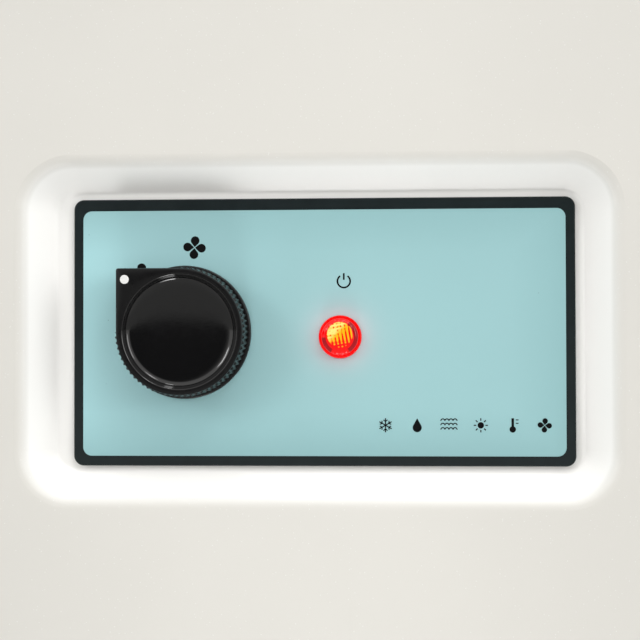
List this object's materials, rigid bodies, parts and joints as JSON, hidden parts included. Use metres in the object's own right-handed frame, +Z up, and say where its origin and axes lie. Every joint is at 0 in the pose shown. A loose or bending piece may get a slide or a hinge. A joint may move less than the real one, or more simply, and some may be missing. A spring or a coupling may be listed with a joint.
{
  "type": "portable air conditioner",
  "caption": "Floor-standing portable air conditioner on castors: recessed control plate with rotary knob and pilot lamp, tilting louvres, rear grilles, hose collar and pull-out water tank.",
  "frame": {"origin": "on the floor under the middle of the machine", "axes": "+Z up, -Y out of the front face that carries the control plate, +X to the right seen from the front"},
  "size_m": [0.3648, 0.3475, 0.7],
  "materials": {
    "housing": "satin, finely speckled",
    "pan": "satin",
    "grey_trim": "satin",
    "blades": "satin",
    "zinc": "zinc plated",
    "castor_tyre": "semi-gloss",
    "plate_black": "semi-gloss",
    "teal_film": "satin film",
    "knob_black": "semi-gloss",
    "knob_gloss": "glossy",
    "marker_white": "printed",
    "switch_black": "satin",
    "lamp_red": "translucent red, lit",
    "lamp_white": "satin",
    "filter_mesh": "fine mesh",
    "tank_clear": "translucent white",
    "rubber_grey": "matt",
    "foam_white": "matt",
    "coil_aluminium": "finned",
    "motor_steel": "zinc plated",
    "compressor_black": "gloss black",
    "copper": "bright copper"
  },
  "bodies": {
    "casing": {"front_shell": "housing", "rear_shell_upper": "housing", "rear_shell_lower": "housing", "top_cover": "housing", "base_pan": "pan", "shell_screws": "zinc", "side_handles": "grey_trim", "panel_plate": "plate_black", "panel_overlay": "teal_film", "selector_switch": "switch_black", "panel_nuts": "zinc", "lamp_lens": "lamp_red", "lamp_body": "lamp_white", "louvre_frame": "pan", "condenser_grille": "pan", "exhaust_collar": "pan", "cord_gland": "switch_black", "mid_deck": "foam_white", "evaporator_coil": "coil_aluminium", "condenser_coil": "coil_aluminium", "blower_housing": "foam_white", "blower_motor": "motor_steel", "fan_housing": "foam_white", "fan_motor": "motor_steel", "compressor": "compressor_black", "compressor_grommets": "rubber_grey", "refrigerant_pipes": "copper", "run_capacitor": "zinc"},
    "knob": {"knob_body": "knob_black", "knob_insert": "knob_gloss", "knob_dot": "marker_white", "switch_shaft": "zinc"},
    "blower_rotor": {"blower_wheel": "switch_black", "blower_shaft": "zinc"},
    "fan_rotor": {"fan_wheel": "switch_black", "fan_shaft": "zinc"},
    "filter_cassette": {"intake_grille": "pan", "air_filter": "filter_mesh"},
    "tank": {"drain_tank": "tank_clear", "tank_front": "housing"},
    "plug": {"drain_plug": "rubber_grey"},
    "louvre_bar": {"louvre_link": "blades"},
    "guide_bar": {"guide_link": "blades"},
    "louvre_1": {"louvre_blade_1": "blades"},
    "louvre_2": {"louvre_blade_2": "blades"},
    "louvre_3": {"louvre_blade_3": "blades"},
    "louvre_4": {"louvre_blade_4": "blades"},
    "guide_1": {"guide_vane_1": "blades"},
    "guide_2": {"guide_vane_2": "blades"},
    "guide_3": {"guide_vane_3": "blades"},
    "guide_4": {"guide_vane_4": "blades"},
    "guide_5": {"guide_vane_5": "blades"},
    "castor_front_left": {"castor_fork_front_left": "zinc"},
    "wheel_front_left": {"castor_wheel_front_left": "castor_tyre"},
    "castor_front_right": {"castor_fork_front_right": "zinc"},
    "wheel_front_right": {"castor_wheel_front_right": "castor_tyre"},
    "castor_rear_left": {"castor_fork_rear_left": "zinc"},
    "wheel_rear_left": {"castor_wheel_rear_left": "castor_tyre"},
    "castor_rear_right": {"castor_fork_rear_right": "zinc"},
    "wheel_rear_right": {"castor_wheel_rear_right": "castor_tyre"}
  },
  "joints": [
    {"name": "knob_turn", "type": "hinge", "parent": "casing", "child": "knob", "pos_m": [-0.0411, -0.165, 0.5], "axis": [0, 1, 0], "range_deg": [0, 52]},
    {"name": "louvre_1_tilt", "type": "hinge", "parent": "casing", "child": "louvre_1", "pos_m": [0, -0.154, 0.621], "axis": [1, 0, 0], "range_deg": [-45, 45]},
    {"name": "louvre_2_tilt", "type": "hinge", "parent": "casing", "child": "louvre_2", "pos_m": [0, -0.154, 0.634], "axis": [1, 0, 0], "range_deg": [-45, 45]},
    {"name": "louvre_3_tilt", "type": "hinge", "parent": "casing", "child": "louvre_3", "pos_m": [0, -0.154, 0.647], "axis": [1, 0, 0], "range_deg": [-45, 45]},
    {"name": "louvre_4_tilt", "type": "hinge", "parent": "casing", "child": "louvre_4", "pos_m": [0, -0.154, 0.66], "axis": [1, 0, 0], "range_deg": [-45, 45]},
    {"name": "louvre_bar_pivot", "type": "hinge", "parent": "louvre_1", "child": "louvre_bar", "pos_m": [0.112, -0.1495, 0.621], "axis": [1, 0, 0], "range_deg": [-45, 45]},
    {"name": "guide_1_swing", "type": "hinge", "parent": "casing", "child": "guide_1", "pos_m": [-0.092, -0.126, 0.6405], "axis": [0, 0, 1], "range_deg": [-35, 35]},
    {"name": "guide_2_swing", "type": "hinge", "parent": "casing", "child": "guide_2", "pos_m": [-0.046, -0.126, 0.6405], "axis": [0, 0, 1], "range_deg": [-35, 35]},
    {"name": "guide_3_swing", "type": "hinge", "parent": "casing", "child": "guide_3", "pos_m": [0, -0.126, 0.6405], "axis": [0, 0, 1], "range_deg": [-35, 35]},
    {"name": "guide_4_swing", "type": "hinge", "parent": "casing", "child": "guide_4", "pos_m": [0.046, -0.126, 0.6405], "axis": [0, 0, 1], "range_deg": [-35, 35]},
    {"name": "guide_5_swing", "type": "hinge", "parent": "casing", "child": "guide_5", "pos_m": [0.092, -0.126, 0.6405], "axis": [0, 0, 1], "range_deg": [-35, 35]},
    {"name": "guide_bar_pivot", "type": "hinge", "parent": "guide_1", "child": "guide_bar", "pos_m": [-0.092, -0.117, 0.6405], "axis": [0, 0, 1], "range_deg": [-35, 35]},
    {"name": "filter_pull", "type": "slide", "parent": "casing", "child": "filter_cassette", "axis": [0, 1, 0], "range_m": [0, 0.1]},
    {"name": "tank_pull", "type": "slide", "parent": "casing", "child": "tank", "axis": [0, -1, 0], "range_m": [0, 0.13]},
    {"name": "plug_pull", "type": "slide", "parent": "casing", "child": "plug", "axis": [0, 1, 0], "range_m": [0, 0.02]},
    {"name": "blower_spin", "type": "hinge", "parent": "casing", "child": "blower_rotor", "pos_m": [0, 0.06, 0.528], "axis": [0, 1, 0], "continuous": true},
    {"name": "fan_spin", "type": "hinge", "parent": "casing", "child": "fan_rotor", "pos_m": [0.062, 0.076, 0.168], "axis": [0, 1, 0], "continuous": true},
    {"name": "swivel_front_left", "type": "hinge", "parent": "casing", "child": "castor_front_left", "pos_m": [-0.134, -0.12, 0.05], "axis": [0, 0, 1], "continuous": true},
    {"name": "roll_front_left", "type": "hinge", "parent": "castor_front_left", "child": "wheel_front_left", "pos_m": [-0.134, -0.106, 0.022], "axis": [1, 0, 0], "continuous": true},
    {"name": "swivel_front_right", "type": "hinge", "parent": "casing", "child": "castor_front_right", "pos_m": [0.134, -0.12, 0.05], "axis": [0, 0, 1], "continuous": true},
    {"name": "roll_front_right", "type": "hinge", "parent": "castor_front_right", "child": "wheel_front_right", "pos_m": [0.134, -0.106, 0.022], "axis": [1, 0, 0], "continuous": true},
    {"name": "swivel_rear_left", "type": "hinge", "parent": "casing", "child": "castor_rear_left", "pos_m": [-0.134, 0.12, 0.05], "axis": [0, 0, 1], "continuous": true},
    {"name": "roll_rear_left", "type": "hinge", "parent": "castor_rear_left", "child": "wheel_rear_left", "pos_m": [-0.134, 0.134, 0.022], "axis": [1, 0, 0], "continuous": true},
    {"name": "swivel_rear_right", "type": "hinge", "parent": "casing", "child": "castor_rear_right", "pos_m": [0.134, 0.12, 0.05], "axis": [0, 0, 1], "continuous": true},
    {"name": "roll_rear_right", "type": "hinge", "parent": "castor_rear_right", "child": "wheel_rear_right", "pos_m": [0.134, 0.134, 0.022], "axis": [1, 0, 0], "continuous": true}
  ],
  "couplings": [
    {"joint": "louvre_2_tilt", "follows": "louvre_1_tilt", "ratio": 1},
    {"joint": "louvre_3_tilt", "follows": "louvre_1_tilt", "ratio": 1},
    {"joint": "louvre_4_tilt", "follows": "louvre_1_tilt", "ratio": 1},
    {"joint": "louvre_bar_pivot", "follows": "louvre_1_tilt", "ratio": -1},
    {"joint": "guide_2_swing", "follows": "guide_1_swing", "ratio": 1},
    {"joint": "guide_3_swing", "follows": "guide_1_swing", "ratio": 1},
    {"joint": "guide_4_swing", "follows": "guide_1_swing", "ratio": 1},
    {"joint": "guide_5_swing", "follows": "guide_1_swing", "ratio": 1},
    {"joint": "guide_bar_pivot", "follows": "guide_1_swing", "ratio": -1}
  ]
}
